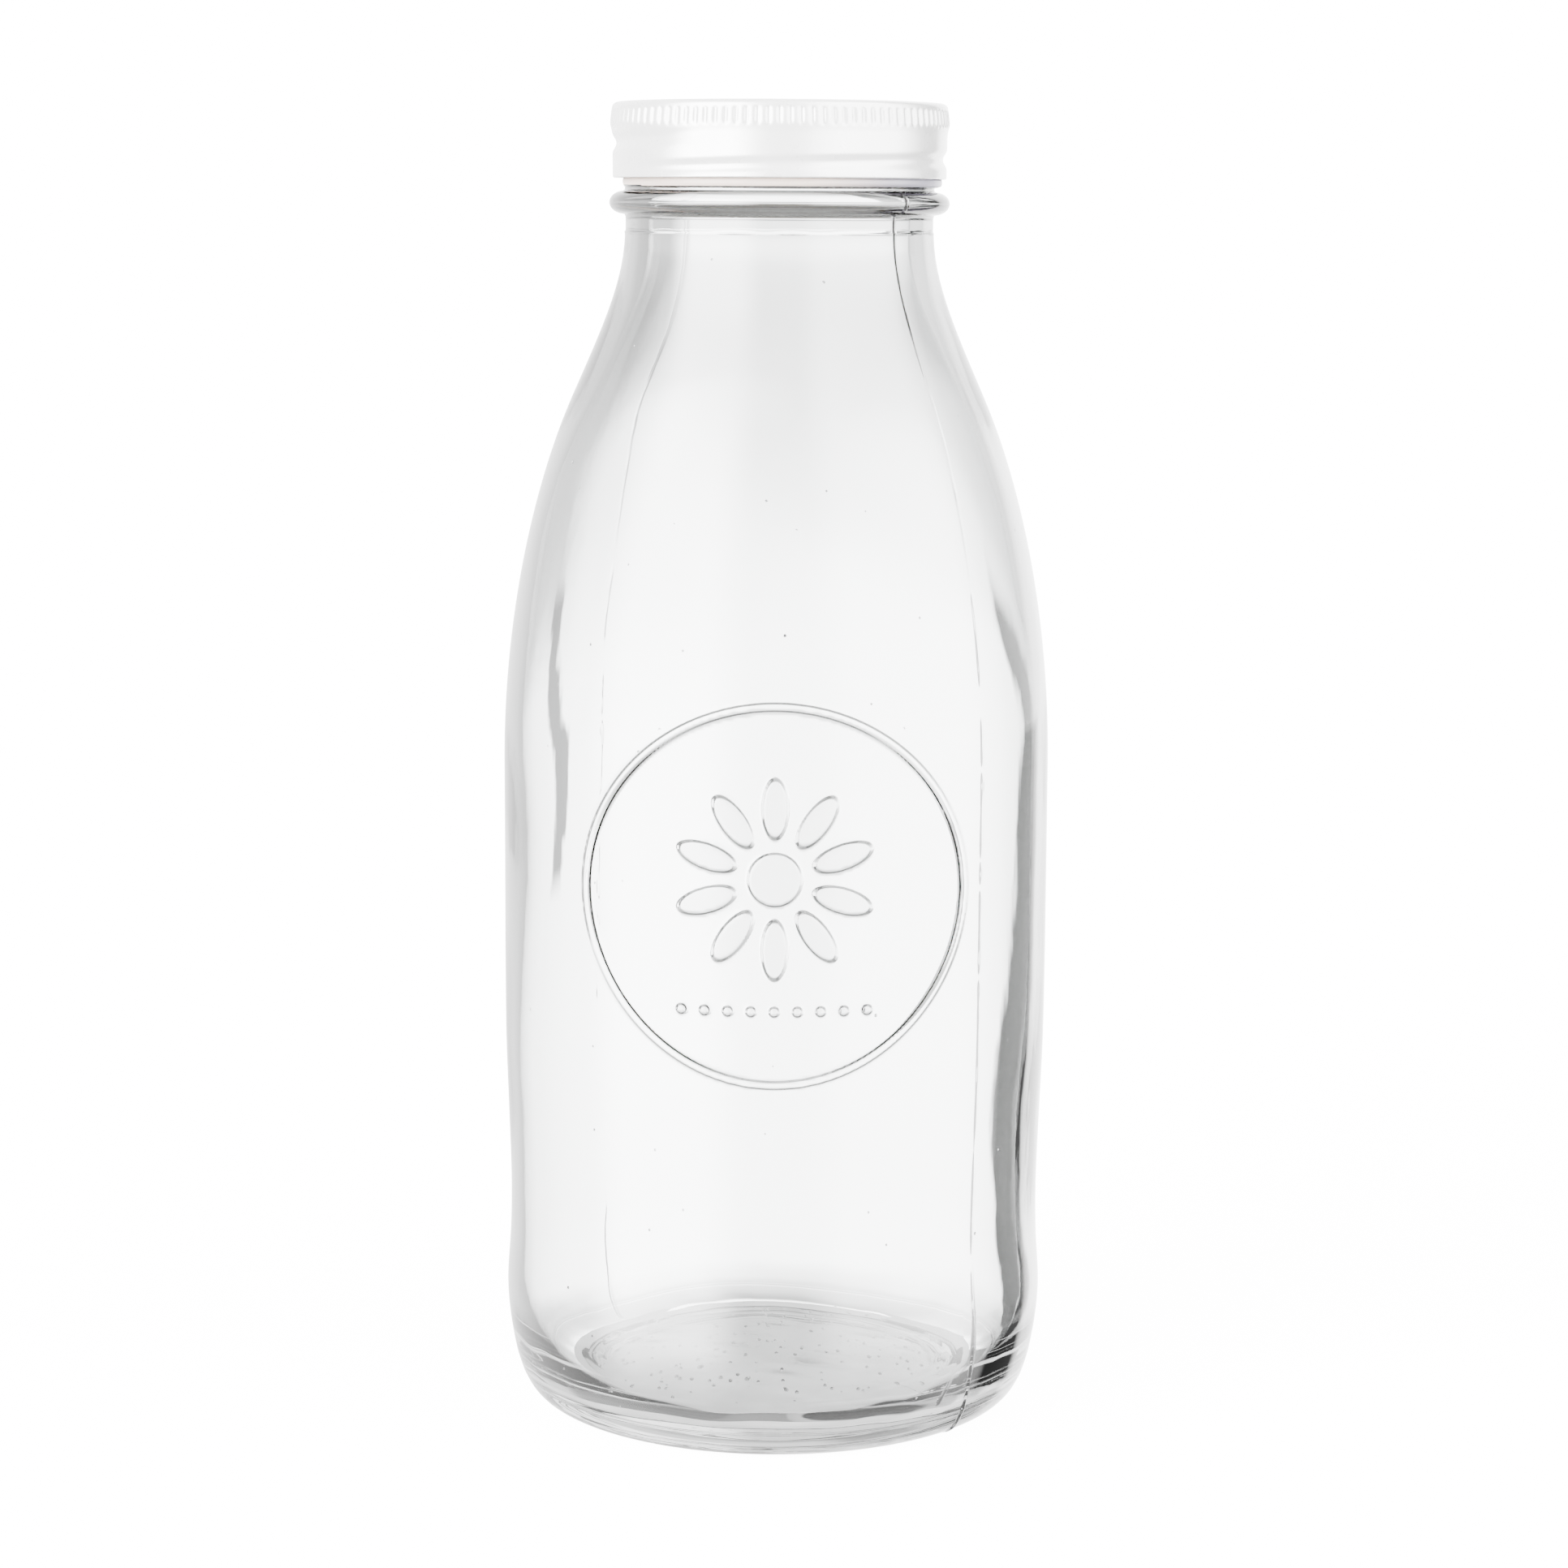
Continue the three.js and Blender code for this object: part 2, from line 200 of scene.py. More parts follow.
base_run = joined(
    cubic((0, PUSH_UP), (21, PUSH_UP), (26.8, PUSH_UP), (FOOT_RING[0], 0)),
    cubic((FOOT_RING[1], 0), (36.2, 0), (37.6, 2.1), HEEL),
)
parting = [(38.56, 4.25), (38.62, 4.5), (38.72, 4.7)]
heel_and_waist = [
    parting[-1], (39.55, 7.5), (40.4, 12.5), (40.75, 18), (40.25, 26), (40.15, 34), (40.45, 44), (40.85, 56),
    (BODY_R, 70),
]
body_run = joined(
    parting,
    through(heel_and_waist),
    cubic((BODY_R, 97.5), (BODY_R, 116.6), (37.3, 137.2), NECK_BEND),
    cubic(NECK_BEND, (26.4, 161.9), (NECK_R, 169.5), (NECK_R, 176.4)),
)
finish_run = joined(
    [(22.76, 176.5), (22.74, 176.7), (22.74, 178.6)],
    ellipse((22.9, 180.75), 2.25, 1.7, -90, 90),
    [(NECK_R, 182.9)],
    cubic((NECK_R, 183.05), (23.3, 183.1), (23.55, 183.2), (23.57, 183.6), 8),
    cubic((23.57, 184.1), (23.55, 184.4), (23.3, 184.5), (LAND_R, 184.7), 8),
    ellipse((LAND_R - 0.6, RIM_Z - 0.6), 0.6, 0.6, 0, 90, 8),
    ellipse((BORE_R + 0.7, RIM_Z - 0.7), 0.7, 0.7, 90, 180, 8),
)

# %% Inside of the glass, from the neck to the floor's middle
WALL = 2.6
EVEN_WALL_LOW, EVEN_WALL_HIGH = 17.5, 152.5
FLOOR_R, FLOOR_Z = 31.5, 4.8
even_part = body_run[(body_run[:, 1] > EVEN_WALL_LOW) & (body_run[:, 1] < EVEN_WALL_HIGH)]
even_wall = inset(even_part, -WALL)[::-1]
CORNER_R, CORNER_Z = even_wall[-1] - (FLOOR_R, 0)
inside_run = joined(
    cubic((BORE_R, 174.5), (BORE_R, 168), (24.1, 160.6), (28.11, 151.55)),
    even_wall,
    ellipse((FLOOR_R, CORNER_Z), CORNER_R, CORNER_Z - FLOOR_Z, 0, -90, 40),
    cubic((31, FLOOR_Z), (30.6, FLOOR_Z), (30.2, FLOOR_Z), (29.8, FLOOR_Z), 12),
    cubic((29.7, FLOOR_Z), (27.6, FLOOR_Z), (26.8, 4.7), (26, 4.7), 40),
    cubic((25.9, 4.7), (19, 4.7), (9, 5.2), (0, 5.2)),
)
outside_end = len(joined(base_run, body_run, finish_run))
glass_path = joined(base_run, body_run, finish_run, inside_run)
print("glass outline:", len(glass_path), "points,", outside_end, "of them outside")


# %% [markdown]
# ## Detail on the glass
#
# The thread is a ridge that climbs one pitch, a sixth of an inch, in each turn. Its height over the land is a
# flat-topped bump of the distance from the helix. The two mould halves leave a thin seam on opposite sides.
# The emblem is drawn flat, as seen from the front, and raised along the radius: a narrow ring, a daisy and a
# row of dots. Each shape is written as a distance to its edge, and the distance becomes a height over a short
# slope.

# %% Thread, seams and neck parting
PITCH = 25.4 / 6
GROOVE_RIGHT_Z = 187.2
CREST_R = 24.05
THREAD_START, THREAD_END, THREAD_TAPER = 165, 570, 24
SEAMS = (46.5, 226.5)
SEAM_RISE, HEEL_SEAM_RISE, NECK_SEAM_RISE = 0.12, 0.3, 0.2
NECK_PARTING_Z = 176.45


def helix_gap(turn, z, z_at_right, start, end, taper):
    """Height above the nearest turn of a right-handed helix, and how full it is there. turn is degrees
    anticlockwise from +X; the helix lies at z_at_right plus a pitch per turn past 360, from start to end."""
    gap = np.full(np.broadcast(turn, z).shape, 99.0)
    full = np.zeros_like(gap)
    for lap in (0, 360, 720):
        angle = np.mod(turn, 360) + lap
        here = z - z_at_right - PITCH * (angle - 360) / 360
        part = smooth(np.minimum(angle - start, end - angle), 0, taper)
        nearer = (np.abs(here) < np.abs(gap)) & (part > 0)
        gap, full = np.where(nearer, here, gap), np.where(nearer, part, full)
    return gap, full


def thread_height(azimuth, z):
    """Flat-topped ridge: full height within 0.45 mm of the helix, falling to nothing at 1.3 mm."""
    right_z = GROOVE_RIGHT_Z + PITCH / 2
    gap, full = helix_gap(azimuth - 90, z, right_z, THREAD_START, THREAD_END, THREAD_TAPER)
    return (CREST_R - LAND_R) * full * (1 - smooth(np.abs(gap), 0.45, 1.3))


def seam_height(azimuth, r, z):
    """A ridge along both mould joints, 0.4 mm to each side of its line. It stands up to 0.12 mm on the wall,
    where it comes and goes, and up to 0.42 mm on the heel and 0.32 mm on the neck and the bead."""
    away = np.minimum.reduce([np.abs(np.mod(azimuth - s + 180, 360) - 180) for s in SEAMS])
    broken = 0.5 + 0.5 * np.sin(z * 0.9 + 2 * np.sin(z * 0.37)) * np.sin(z * 0.23 + 1)
    tall = HEEL_SEAM_RISE * (1 - smooth(z, 12, 24)) + NECK_SEAM_RISE * smooth(z, 150, 166)
    along = smooth(z, 0.1, 0.6) * (1 - smooth(z, 182.2, 182.6))
    return (SEAM_RISE * broken + tall) * (1 - smooth(np.radians(away) * r, 0.06, 0.4)) * along


def neck_flash(azimuth, z):
    """A broken fin 0.1 mm high round the neck, where the mould's body halves met its neck ring."""
    broken = smooth(np.sin(np.radians(azimuth) * 11 + 2 * np.sin(np.radians(azimuth) * 4)), -0.5, 0.7)
    return 0.1 * broken * (1 - smooth(np.abs(z - NECK_PARTING_Z), 0.04, 0.22))


# %% Emblem distances
EMBOSS = 0.4
RING_R, RING_BAND = 27.7, 1.3
PETALS, DISC_R, DAISY_RISE = 10, 3.9, 2.6
PETAL_MIDDLE, PETAL_HALF_LENGTH, PETAL_HALF_WIDTH = 10.1, 4.5, 1.9
DOTS, DOT_R, DOT_STEP, DOT_DROP = 9, 0.8, 3.3, 16.4


def emblem_distance(x, z):
    """Distance in mm to the edge of the nearest raised shape, negative inside it."""
    ring = np.abs(np.hypot(x, z) - (RING_R - RING_BAND / 2)) - RING_BAND / 2
    r, a = np.hypot(x, z - DAISY_RISE), np.arctan2(x, z - DAISY_RISE)
    sector = 2 * np.pi / PETALS
    a = np.mod(a + sector / 2, sector) - sector / 2
    u, v = (r * np.cos(a) - PETAL_MIDDLE) / PETAL_HALF_LENGTH, r * np.sin(a) / PETAL_HALF_WIDTH
    petal = (np.hypot(u, v) - 1) * PETAL_HALF_WIDTH
    disc = r - DISC_R
    nearest_dot = np.clip(np.round(x / DOT_STEP), -(DOTS // 2), DOTS // 2) * DOT_STEP
    dot = np.hypot(x - nearest_dot, z + DOT_DROP) - DOT_R
    return np.minimum.reduce([ring, petal, disc, dot])


def emblem_height(azimuth, r, z):
    """The distance turned into a 0.4 mm step with a slope 0.4 mm wide, on the front only."""
    x = r * np.sin(np.radians(azimuth))
    front = np.cos(np.radians(azimuth)) > 0
    return EMBOSS * front * (1 - smooth(emblem_distance(x, z - EMBLEM_Z), -0.3, 0.1))


# %% [markdown]
# ## Uneven glass
#
# Blown glass is never even. The wall swells and thins by a few tenths of a millimetre over a few centimetres,
# and that is what bends the edges seen through it. A sum of a few long waves round and along the bottle, with
# fixed random phases, is enough, and it is strongest on the inside, which no mould ever touched.


# %% Long waves in the wall
def waves(azimuth, z, count, seed, longest):
    """Sum of sine waves over the angle and the height, whole numbers round so that it closes; about 1."""
    rng = np.random.default_rng(seed)
    total = np.zeros(np.broadcast(azimuth, z).shape)
    for _ in range(count):
        laps, along = rng.integers(1, 6), rng.uniform(0.3, 1) * 2 * np.pi / longest
        way, phase = rng.choice([-1, 1]), rng.uniform(0, 6.3)
        total += np.sin(laps * np.radians(azimuth) + along * z * way + phase)
    return total / np.sqrt(count)


def floor_ripple(x, y):
    """Sum of six plane waves, 6 to 20 mm long, in fixed random directions, scaled to about 1."""
    rng = np.random.default_rng(5)
    total = 0
    for _ in range(6):
        way, length, phase = rng.uniform(0, np.pi), rng.uniform(6, 20), rng.uniform(0, 6.3)
        total = total + np.sin((x * np.cos(way) + y * np.sin(way)) * 2 * np.pi / length + phase)
    return total / 2.4


# %% Rings of the bottle, outside and inside
OUTER_WAVE, INNER_WAVE, INNER_SHORT_WAVE = 0.03, 0.2, 0.05
LOCK_RING_SHIFT = 0.4
FLOOR_RINGS = ((29.9, 0.22), (27.3, 0.176))
FLOOR_RING_WIDTH, FLOOR_RIPPLE = 0.45, 0.09


def level_points(path, azimuth):
    """Radius and height of the path for every azimuth, as two grids."""
    return path[:, :1] + 0 * azimuth, path[:, 1:] + 0 * azimuth


def wall_mask(r, z):
    """1 on the wall, easing to 0 at the base and the neck, where the mould holds the glass still."""
    return smooth(z, 2, 12) * (1 - smooth(z, 150, 172)) * (r > 20)


def turned(r, z, azimuth):
    """Points at a radius, turned to an azimuth: 0 faces -Y, and it grows towards +X."""
    a = np.radians(azimuth)
    return np.stack([r * np.sin(a), -r * np.cos(a), z], -1)


def outside_points(path, azimuth):
    """The outline's radius plus thread, shifted locking ring, seams, emblem, parting fin and waves."""
    r, z = level_points(path, azimuth)
    wall = wall_mask(r, z)
    upright = smooth(r, 15, 30) + smooth(z, 100, 110)
    on_lock_ring = smooth(z, 182.95, 183.3) * (1 - smooth(z, 184.4, 184.7))
    r = r + thread_height(azimuth, z) * (z > 184.5) * (r > 22.4)
    r = r + LOCK_RING_SHIFT * np.sin(np.radians(azimuth)) * on_lock_ring
    r = r + seam_height(azimuth, r, z) * np.minimum(upright, 1) + emblem_height(azimuth, r, z)
    r = r + neck_flash(azimuth, z)
    r = r + OUTER_WAVE * wall * waves(azimuth, z, 7, 3, 45)
    return turned(r, z, azimuth)


def inside_points(path, azimuth):
    """The inner outline with long and short waves in its radius, and on the floor two low round ridges and a
    ripple in its height."""
    r, z = level_points(path, azimuth)
    wall = wall_mask(r, z)
    long_waves, short_waves = waves(azimuth, z, 9, 7, 60), waves(azimuth, z, 9, 19, 22)
    r = r + INNER_WAVE * wall * long_waves + INNER_SHORT_WAVE * wall * short_waves
    flat = turned(r, z, azimuth)
    ridges = sum(high * np.exp(-(((r - at) / FLOOR_RING_WIDTH) ** 2)) for at, high in FLOOR_RINGS)
    ripple = FLOOR_RIPPLE * smooth(r, 1, 4) * floor_ripple(flat[..., 0], flat[..., 1])
    return turned(r, z + (1 - smooth(z, 9, 14)) * (ridges + ripple), azimuth)


# %% Columns: coarse everywhere, finer at the seams, finest across the emblem
COARSE_STEP, FINE_STEP, FINE_HALF = 2.4, 0.4, 44.8
seam_offsets = np.array([-1.0, -0.7, -0.45, -0.2, 0, 0.2, 0.45, 0.7, 1.0])


def columns(*sets):
    """Azimuths of all the sets, rounded, brought into 0..360, sorted and without repeats."""
    return np.unique(np.mod(np.round(np.concatenate(sets), 3), 360))


coarse = columns(np.arange(0, 360, COARSE_STEP), *[s + seam_offsets for s in SEAMS])
fine = columns(coarse, np.arange(-FINE_HALF, FINE_HALF + FINE_STEP / 4, FINE_STEP))
nearest = np.searchsorted(coarse, fine, side="right") - 1
print("columns:", len(coarse), "coarse,", len(fine), "fine")


# %% [markdown]
# ## The bottle's mesh
#
# The outside is cut into three, below the emblem, across it and above it, so that only the emblem's band pays
# for fine columns. Row spacing follows the detail in the same way.


# %% Rows of the bottle
def glass_spacing(p):
    """Wanted gap between rows outside: small at the parting line, the finish and the rim."""
    r, z = p[:, 0], p[:, 1]
    step = np.where(z > 110, 1.7, 1.5)
    step = np.where(z < 10, 0.7, step)
    step = np.where((z < 3) & (r < 29), 2.2, step)
    step = np.where((z > 3.9) & (z < 4.9) & (r > 38), 0.12, step)
    step = np.where(z > 175.5, 0.38, step)
    step = np.where((z > 176.1) & (z < 176.8), 0.11, step)
    return np.where(z > RIM_Z - 1.0, 0.16, step)


def inner_spacing(p):
    """Wanted gap between rows inside: small at the floor's ridges."""
    r, z = p[:, 0], p[:, 1]
    step = np.where((z < 98) & (z > 18), 3.0, 2.4)
    step = np.where(z < 30, 1.4, step)
    return np.where((z < 12) & (r > 24), 0.6, step)


EMBLEM_MARGIN, EMBLEM_ROW = 1.4, 0.48
outer = glass_path[:outside_end]


def cut_at(z):
    """Where the outside wall passes a height: the number of the next outline point, and the point itself."""
    after = np.flatnonzero((outer[:, 1] > z) & (outer[:, 0] > 30))[0]
    span = outer[after - 1 : after + 1]
    return after, np.array([np.interp(z, span[:, 1], span[:, 0]), z])


first, cut_low = cut_at(EMBLEM_Z - RING_R - EMBLEM_MARGIN)
last, cut_high = cut_at(EMBLEM_Z + RING_R + EMBLEM_MARGIN)
low_rows = thinned(np.vstack([outer[:first], cut_low]), glass_spacing)
emblem_run = np.vstack([cut_low, outer[first:last], cut_high])
emblem_rows = thinned(emblem_run, lambda p: np.full(len(p), EMBLEM_ROW))
high_rows = thinned(np.vstack([cut_high, outer[last:]]), glass_spacing)
inner_rows = thinned(glass_path[outside_end - 1 :], inner_spacing)
print("rows:", len(low_rows), len(emblem_rows), len(high_rows), len(inner_rows))

# %% Points and faces of the bottle
blocks = [
    outside_points(low_rows[1:-1], coarse),
    outside_points(emblem_rows, fine),
    outside_points(high_rows[1:], coarse),
    inside_points(inner_rows[1:-1], coarse),
]
poles = np.array([[0, 0, low_rows[0, 1]], [0, 0, inner_rows[-1, 1]]])
glass_xyz = np.vstack([poles, *[b.reshape(-1, 3) for b in blocks]])
starts = 2 + np.cumsum([0, *[b.shape[0] * b.shape[1] for b in blocks[:-1]]])
rings = [s + np.arange(b.shape[0] * b.shape[1]).reshape(b.shape[:2]) for s, b in zip(starts, blocks)]

glass_faces = [fan(0, rings[0][0], False)]
for block in rings:
    glass_faces += [strip(a, b) for a, b in zip(block[1:], block[:-1])]
glass_faces.append(graded(rings[0][-1], rings[1][0], nearest, True))
glass_faces.append(graded(rings[2][0], rings[1][-1], nearest, False))
glass_faces.append(strip(rings[3][0], rings[2][-1]))
glass_faces.append(fan(1, rings[3][-1], True))


# %% [markdown]
# ## Shader maths as expressions
#
# A node tree is hard to read, so one small class wraps a socket: adding or multiplying two wrapped sockets
# adds the Math node that does it. Everything else comes from one method that takes a node's type, its
# settings and its inputs.


# %% Expression class
class Socket:
    """A node output in one material's tree, with + - * / and a few functions."""

    def __init__(self, tree, socket):
        self.tree, self.socket = tree, socket

    def node(self, kind, output=0, settings=None, **inputs):
        """Adds a node: settings are set first, then each named or numbered input gets a value or a link."""
        return Socket(self.tree, add_node(self.tree, kind, settings, inputs).outputs[output])

    def maths(self, operation, *others, clamp=False):
        inputs = {f"in{k}": v for k, v in enumerate([self, *others])}
        return self.node("ShaderNodeMath", 0, {"operation": operation, "use_clamp": clamp}, **inputs)

    def __add__(self, other):
        return self.maths("ADD", other)

    def __radd__(self, other):
        return self.maths("ADD", other)

    def __sub__(self, other):
        return self.maths("SUBTRACT", other)

    def __rsub__(self, other):
        return self.maths("MULTIPLY", -1.0) + other

    def __mul__(self, other):
        return self.maths("MULTIPLY", other)

    def __rmul__(self, other):
        return self.maths("MULTIPLY", other)

    def __truediv__(self, other):
        return self.maths("DIVIDE", other)

    def ramp(self, low, high, to_low=0.0, to_high=1.0):
        """An easy step: to_low below low, to_high above high, and a smoothstep between."""
        inputs = {"in0": self, "in1": low, "in2": high, "in3": to_low, "in4": to_high}
        return self.node("ShaderNodeMapRange", 0, {"interpolation_type": "SMOOTHSTEP"}, **inputs)


def add_node(tree, kind, settings=None, inputs=None):
    node = tree.nodes.new(kind)
    for key, value in (settings or {}).items():
        setattr(node, key, value)
    for key, value in (inputs or {}).items():
        socket = node.inputs[int(key[2:])] if key[:2] == "in" and key[2:].isdigit() else node.inputs[key]
        if isinstance(value, Socket):
            tree.links.new(value.socket, socket)
        else:
            socket.default_value = value
    return node


def new_material(name, preview):
    """An empty material with its Principled node, its Object coordinates and their X, Y and Z."""
    material = bpy.data.materials.new(name)
    material.use_nodes = True
    material.diffuse_color = preview
    tree = material.node_tree
    tree.nodes.clear()
    shader = tree.nodes.new("ShaderNodeBsdfPrincipled")
    output = tree.nodes.new("ShaderNodeOutputMaterial")
    tree.links.new(shader.outputs[0], output.inputs["Surface"])
    place = Socket(tree, tree.nodes.new("ShaderNodeTexCoord").outputs["Object"])
    split = add_node(tree, "ShaderNodeSeparateXYZ", None, {"in0": place})
    return material, shader, place, [Socket(tree, split.outputs[k]) for k in range(3)]


def set_shader(shader, **values):
    """Puts a value or a link on each socket of the shader, named with _ for a space."""
    for key, value in values.items():
        socket = shader.inputs[key.replace("_", " ")]
        if isinstance(value, Socket):
            value.tree.links.new(value.socket, socket)
        else:
            socket.default_value = value


def noise(place, scale, detail=3.0, roughness=0.55, stretch=None):
    """Noise texture's value at a place, in waves per metre, with an optional squeeze per axis."""
    if stretch:
        place = squeezed(place, stretch)
    return place.node(
        "ShaderNodeTexNoise", 0, None, Vector=place, Scale=scale, Detail=detail, Roughness=roughness
    )


def bump(height, strength, distance):
    """Normal from a height: distance is the height's full size in metres."""
    return height.node("ShaderNodeBump", 0, None, Height=height, Strength=strength, Distance=distance)


def squeezed(place, factors):
    """The place with each axis multiplied by its factor."""
    return place.node("ShaderNodeVectorMath", 0, {"operation": "MULTIPLY"}, in0=place, in1=factors)


def cells(place, scale):
    """Distance to the nearest of the points strewn at random, in cells of 1 / scale metres."""
    return place.node("ShaderNodeTexVoronoi", 0, {"feature": "F1"}, Vector=place, Scale=scale, Randomness=1.0)


def blend(factor, low, high):
    """A colour between two: low where the factor is 0, high where it is 1."""
    return factor.node("ShaderNodeMix", 2, {"data_type": "RGBA"}, in0=factor, in6=low, in7=high)


def hypotenuse(a, b):
    """Length of a step whose two parts are square to each other."""
    return (a * a + b * b).maths("SQRT")


# %% [markdown]
# ## Clear glass
#
# Flint glass bends light by an index of about 1.52 and takes a little of it away at each surface. The surface
# isn't optically flat: the mould leaves a fine orange peel, drawn out along the bottle, and the base has pits
# in both its faces. A few small seeds, bubbles that never rose out of the melt, lie anywhere. All are bumps,
# masked by where they are; the pits and seeds are also tinted near black, a painted shade for the dark look
# that light gives them. The emblem's edges are drawn once more as a bump, because they are sharper than the
# mesh, and its daisy and dots are faintly frosted and tinted grey, a painted shade.

# %% Glass material
glass, shader, place, (x, y, z) = new_material("clear_flint_glass", (0.9, 0.93, 0.93, 0.4))
radius = hypotenuse(x, y)
peel = noise(place, 90.0, 3.0, 0.5, (1.0, 1.0, 0.35))
on_floor = (1 - z.ramp(0.0056, 0.006)) * (1 - radius.ramp(0.028, 0.0295))
stipple = (1 - cells(squeezed(place, (1.0, 0.3, 1.0)), 560.0).ramp(0.06, 0.2)) * on_floor
seeds = 1 - cells(place, 120.0).ramp(0.012, 0.03)
relief = peel * 0.35 + stipple * 1.5 + seeds * 2.0


def emblem_edge(x, z):
    """The emblem's distance again, as shader maths: to the nearest edge, and to the daisy and dots alone."""
    up = z * 1000 - EMBLEM_Z
    side = x * 1000
    off_ring = hypotenuse(side, up) - (RING_R - RING_BAND / 2)
    ring = off_ring.maths("ABSOLUTE") - RING_BAND / 2
    high = up - DAISY_RISE
    r = hypotenuse(side, high)
    sector = 2 * math.pi / PETALS
    a = (side.maths("ARCTAN2", high) + sector * 10.5).maths("MODULO", sector) - sector / 2
    u = (r * a.maths("COSINE") - PETAL_MIDDLE) / PETAL_HALF_LENGTH
    v = r * a.maths("SINE") / PETAL_HALF_WIDTH
    petal = (hypotenuse(u, v) - 1) * PETAL_HALF_WIDTH
    disc = r - DISC_R
    half = DOTS // 2
    column = (side / DOT_STEP).maths("ROUND").maths("MINIMUM", float(half)).maths("MAXIMUM", float(-half))
    dot = hypotenuse(side - column * DOT_STEP, up + DOT_DROP) - DOT_R
    motif = petal.maths("MINIMUM", disc).maths("MINIMUM", dot)
    return ring.maths("MINIMUM", motif), motif


front = 1 - y.ramp(-0.012, -0.008)
outside = radius.ramp(0.0390, 0.0394)
edge, motif = emblem_edge(x, z)
step = (1 - edge.ramp(-0.28, 0.06)) * front * outside
raised = (1 - motif.ramp(-0.3, 0.0)) * front * outside
# Painted shade: pits and seeds near black, and the raised daisy and dots grey, for the look light gives them.
painted_speck_shade = (stipple + seeds).maths("MINIMUM", 1.0)
clear = blend(raised, (0.86, 0.868, 0.866, 1), (0.50, 0.505, 0.505, 1))
tone = blend(painted_speck_shade, clear, (0.05, 0.05, 0.05, 1))
set_shader(
    shader,
    Base_Color=tone,
    Roughness=raised * 0.16,
    IOR=1.52,
    Transmission_Weight=1.0,
    Normal=bump(relief * 0.35 + step * 1.3, 1.0, 0.0003),
)

bottle = put_mesh(
    "glass_bottle_moulded", glass_xyz, glass_faces, glass, "bottle", "glass_bottle"
)

# %% Locking ring's matt face, painted with a warm glow on the left and shade on the right
ring_painted_light, shader, place, (x, _, _) = new_material("matt_ring_glass", (0.9, 0.87, 0.84, 1))
cloud = noise(place, 260.0, 3.0, 0.6)
# Painted light: a warm cream glow on the left and a dark lavender-grey painted shade on the right; the cloud
# is its own mottle.
painted_shade_to_right = x.ramp(0.002, 0.019) * 0.9 + cloud * 0.1
set_shader(
    shader,
    Base_Color=blend(painted_shade_to_right, (0.95, 0.78, 0.68, 1), (0.27, 0.26, 0.33, 1)),
    Roughness=cloud.ramp(0.3, 0.7, 0.3, 0.45),
    Normal=bump(cloud, 0.2, 0.0001),
)
paint(bottle, ring_painted_light, lambda r, z: (r > 23.05) & (z > 183.15) & (z < 184.62))


# %% [markdown]
# ## The cap's sheet
#
# The cap is one disc of tinplate, drawn into a shallow cup, then rolled: a knurl of a hundred flutes for
# grip, a spiral groove that is the thread, and a hem turned in at the bottom so that no raw edge shows. The
# outside is one outline whose radius changes with the angle, and the inside is the same sheet a quarter of a
# millimetre in.

# %% Cap outline, outside and inside
CAP_TOP, SHEET = 195.3, 0.25
FLUTES, RIB_RISE, VALLEY_DROP = 100, 0.05, 0.34
GROOVE_START, GROOVE_END, GROOVE_TAPER = 200, 610, 40
GROOVE_DEPTH, GROOVE_HALF = 0.6, 1.55
panel_run = cubic((0, 194.95), (12, 194.95), (20.2, 194.93), (20.7, 195.0))
rim_run = cubic((20.7, 195.0), (21.0, 195.3), (21.2, CAP_TOP), (21.8, CAP_TOP))
corner_run = cubic((23.6, CAP_TOP), (24.35, CAP_TOP), (24.7, 195.0), (24.75, 194.4), 14)
knurl_run = cubic((24.75, 194.4), (24.8, 193.6), (24.95, 192.9), (24.95, 192.2), 20)
skirt_run = cubic((24.95, 192.2), (24.95, 191.6), (24.7, 191.2), (24.68, 190.4), 16)
cap_outside = joined(panel_run, rim_run, corner_run, knurl_run, skirt_run, [(24.62, 185.2)])
hem_run = joined(
    ellipse((24.36, 184.55), 0.25, 0.25, 0, -180, 12),
    [(24.14, 185.1), (24.36, 185.3)],
)
print("cap outline:", len(cap_outside) + len(hem_run), "points")


def groove_depth(azimuth, z):
    """A round-bottomed groove 3.1 mm wide and 0.6 mm deep on the same helix as the glass thread, half a pitch
    below it; it fades in over the hem and out under the knurl."""
    gap, full = helix_gap(azimuth - 90, z, GROOVE_RIGHT_Z, GROOVE_START, GROOVE_END, GROOVE_TAPER)
    return GROOVE_DEPTH * full * np.cos(np.pi / 2 * np.clip(np.abs(gap) / GROOVE_HALF, 0, 1)) ** 2


def flute_height(azimuth, z):
    """A hundred shallow flutes: a rounded rib between narrow valleys, deepest in the middle of the knurl."""
    across = np.abs(np.sin(np.radians(azimuth) * FLUTES / 2))
    band = smooth(z, 191.75, 192.15) * (1 - smooth(z, 193.95, 194.35))
    return band * (RIB_RISE - VALLEY_DROP * (1 - across) ** 1.6)


def cap_points(path, azimuth):
    """Sheet points: the outline's radius less the groove, plus the flutes, turned to each azimuth."""
    r, z = level_points(path, azimuth)
    upright = smooth(r, 22.5, 24.0)
    r = r + upright * (flute_height(azimuth, z) - groove_depth(azimuth, z))
    return turned(r, z, azimuth)


def cap_spacing(p):
    """Wanted gap between rows: wide on the panel, small on the skirt, smallest at the top corner."""
    r, z = p[:, 0], p[:, 1]
    step = np.where(r < 20, 1.6, 0.3)
    return np.where((r > 23) & (z > 194), 0.16, step)


